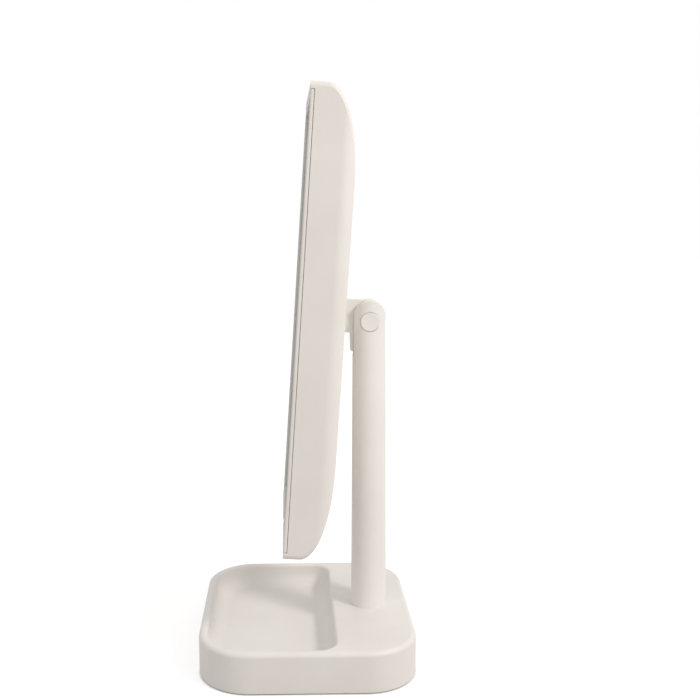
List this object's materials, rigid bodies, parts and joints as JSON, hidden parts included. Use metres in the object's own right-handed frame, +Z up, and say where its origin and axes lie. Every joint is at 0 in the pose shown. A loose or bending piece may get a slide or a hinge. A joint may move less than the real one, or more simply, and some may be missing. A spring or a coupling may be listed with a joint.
{
  "type": "trifold vanity mirror",
  "caption": "Tall trifold vanity mirror: wings folded shut over a lit centre mirror, deep rounded back, tilting on a forked post that stands on a tray base.",
  "frame": {"origin": "middle of the base on the table, under the feet", "axes": "+Z up, the mirror faces -Y, X runs along the tilt axis; the head leans 3.9 degrees back at rest"},
  "size_m": [0.1496, 0.137, 0.3609],
  "materials": {
    "ivory_shell": "fine matte moulded finish",
    "ivory_post": "satin",
    "cover_plastic": "matte",
    "inner_plastic": "matte",
    "zinc_steel": "zinc plated",
    "nylon": "smooth",
    "foot_rubber": "matte",
    "trim_rubber": "matte",
    "silvered_glass": "polished",
    "opal_acrylic": "opal satin",
    "foam_tape": "foam",
    "circuit_board": "solder mask",
    "lamp_phosphor": "encapsulated",
    "cell_wrap": "wrapped pouch",
    "lead_insulation": "smooth"
  },
  "bodies": {
    "stand": {"base_tray": "ivory_shell", "base_cover": "cover_plastic", "ballast_plate": "zinc_steel", "base_feet": "foot_rubber", "base_screws": "zinc_steel", "post_shell": "ivory_post", "post_core": "zinc_steel", "post_plug": "zinc_steel", "post_bolt": "zinc_steel", "hinge_pin": "zinc_steel", "hinge_nut": "zinc_steel", "spring_washer": "zinc_steel", "friction_washers": "nylon", "pin_caps": "ivory_shell"},
    "head": {"rear_shell": "ivory_shell", "neck_bracket": "ivory_shell", "bracket_screws": "zinc_steel", "front_bezel": "ivory_shell", "light_diffuser": "opal_acrylic", "centre_mirror": "silvered_glass", "mirror_tape": "foam_tape", "mirror_carrier": "inner_plastic", "led_boards": "circuit_board", "led_chips": "lamp_phosphor", "shell_screws": "zinc_steel", "battery_pack": "cell_wrap", "battery_clip": "inner_plastic", "control_board": "circuit_board", "board_screws": "zinc_steel", "power_switch": "cover_plastic", "usb_port": "zinc_steel", "wire_harness": "lead_insulation", "bar_magnets": "zinc_steel"},
    "left_wing": {"left_wing_frame": "ivory_shell", "left_wing_outer_mirror": "silvered_glass", "left_wing_inner_mirror": "silvered_glass", "left_wing_trim": "trim_rubber", "left_wing_hinge_pins": "zinc_steel", "left_wing_magnets": "zinc_steel"},
    "right_wing": {"right_wing_frame": "ivory_shell", "right_wing_outer_mirror": "silvered_glass", "right_wing_inner_mirror": "silvered_glass", "right_wing_trim": "trim_rubber", "right_wing_hinge_pins": "zinc_steel", "right_wing_magnets": "zinc_steel"},
    "power_button": {"power_button": "ivory_shell"}
  },
  "joints": [
    {"name": "head_tilt", "type": "hinge", "parent": "stand", "child": "head", "pos_m": [0, 0.0422, 0.218], "axis": [-1, 0, 0], "range_deg": [-5, 80]},
    {"name": "left_wing_hinge", "type": "hinge", "parent": "head", "child": "left_wing", "pos_m": [-0.0643, -0.00419, 0.22116], "axis": [0, -0.068, -0.9977], "range_deg": [0, 165]},
    {"name": "right_wing_hinge", "type": "hinge", "parent": "head", "child": "right_wing", "pos_m": [0.0643, -0.00419, 0.22116], "axis": [0, 0.068, 0.9977], "range_deg": [0, 165]},
    {"name": "power_button_press", "type": "slide", "parent": "head", "child": "power_button", "axis": [0, -0.9977, 0.068], "range_m": [0, 0.001], "stiffness_N_per_m": 600, "springref_m": -0.001}
  ]
}
